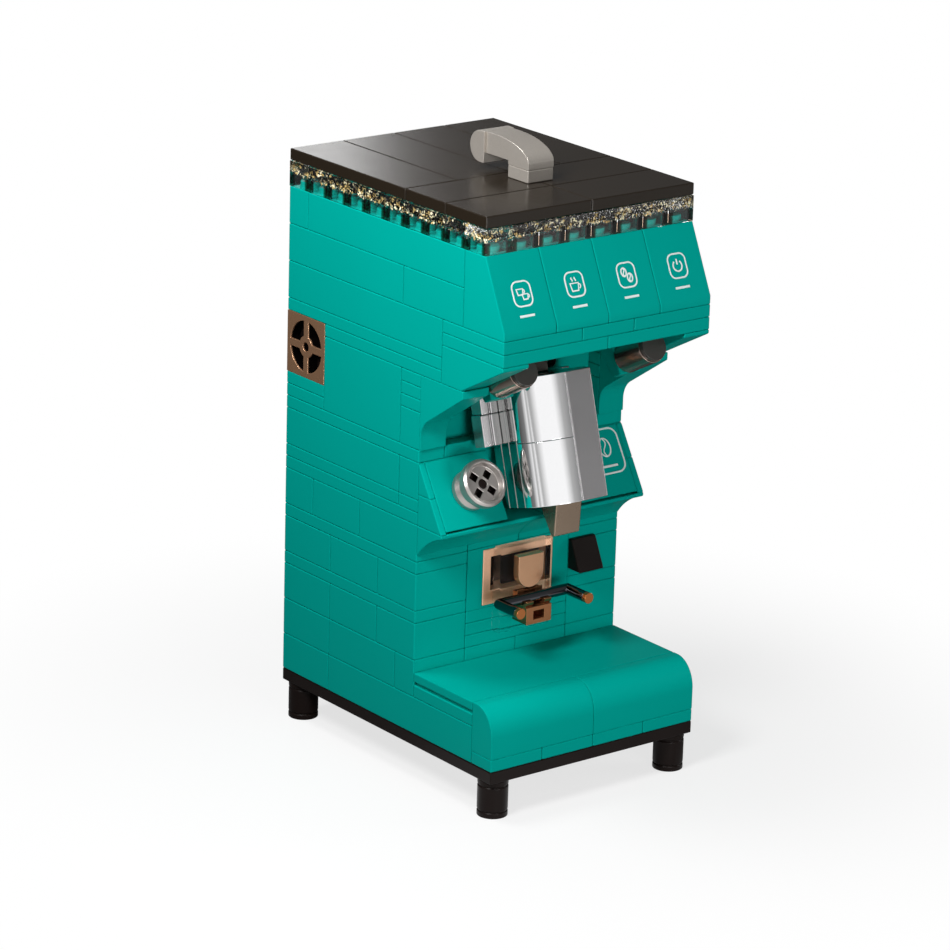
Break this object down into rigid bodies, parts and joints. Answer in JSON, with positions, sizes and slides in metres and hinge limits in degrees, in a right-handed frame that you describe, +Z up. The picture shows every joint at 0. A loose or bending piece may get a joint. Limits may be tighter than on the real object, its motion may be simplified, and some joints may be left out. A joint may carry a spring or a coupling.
{
  "type": "toy brick coffee grinder",
  "caption": "Toy coffee grinder of stacked bricks: lift-off lid over a bean hopper, hinged chrome chute, turning dial, tilting fork, drip tray and feet",
  "frame": {"origin": "on the ground, under the middle of the base", "axes": "+X right, -Y front, +Z up"},
  "size_m": [0.064, 0.0878, 0.16],
  "materials": {
    "teal": "moulded, satin gloss",
    "black": "moulded, satin",
    "lid_dark": "moulded, glossy",
    "pearl_silver": "pearl metallic",
    "dark_grey": "moulded, satin",
    "chrome": "plated plastic, mirror bright",
    "flat_silver": "silver metallic",
    "copper": "copper metallic",
    "tan": "pearl metallic",
    "clear": "clear moulded plastic",
    "bean_brown": "moulded, glossy"
  },
  "bodies": {
    "machine": {"tray_bricks": "teal", "tray_plates": "teal", "tray_top_tiles": "teal", "tray_front_curves": "teal", "tray_front_plates": "teal", "left_wall_lower": "teal", "right_wall_lower": "teal", "rear_wall_lower": "teal", "column_front_bricks": "teal", "left_wall_upper": "teal", "right_wall_upper": "teal", "rear_wall_upper": "teal", "side_stud_bricks": "teal", "side_tiles": "teal", "frame_surround": "teal", "nose_panels": "teal", "nose_end_strips": "teal", "nose_undersides": "teal", "recess_wall_bricks": "teal", "corbels": "teal", "inverted_slopes": "teal", "overhang_plates": "teal", "ceiling_plates": "teal", "front_slopes": "teal", "rim_bricks": "teal", "feet": "black", "base_plate": "black", "vent_backing": "black", "frame_backing": "black", "switch_wedge": "black", "hopper_floor": "black", "lamp_brackets": "black", "chute_hinge_ears": "black", "lamp_faces": "dark_grey", "dial_pin": "dark_grey", "lamp_bodies": "chrome", "vent_frame": "copper", "copper_frame": "copper", "dispense_button": "copper", "fork_clip": "copper", "clear_rails": "clear", "clear_plate": "clear", "coffee_beans": "bean_brown"},
    "lid": {"lid_plate": "lid_dark", "lid_rear_tiles": "lid_dark", "lid_front_tiles": "lid_dark", "handle_base": "pearl_silver", "handle_arch": "pearl_silver", "handle_grip": "pearl_silver"},
    "chute": {"chute_fronts": "chrome", "chute_front_tile": "flat_silver", "chute_layers": "chrome", "chute_copper_plate": "copper", "chute_side_blocks": "flat_silver", "chute_spout": "tan", "chute_hinge_lug": "dark_grey"},
    "dial": {"dial_wheel": "pearl_silver"},
    "fork": {"fork_bar": "chrome", "fork_tips": "copper"}
  },
  "joints": [
    {"name": "lid_lift", "type": "slide", "parent": "machine", "child": "lid", "axis": [0, 0, 1], "range_m": [0, 0.03]},
    {"name": "chute_swing", "type": "hinge", "parent": "machine", "child": "chute", "pos_m": [0, -0.01338, 0.10489], "axis": [-1, 0, 0], "range_deg": [0, 22]},
    {"name": "dial_turn", "type": "hinge", "parent": "machine", "child": "dial", "pos_m": [-0.02, -0.01681, 0.07535], "axis": [0, -0.8528, 0.5223], "continuous": true},
    {"name": "fork_tilt", "type": "hinge", "parent": "machine", "child": "fork", "pos_m": [0, -0.0186, 0.04464], "axis": [-1, 0, 0], "range_deg": [-75, 75]}
  ]
}
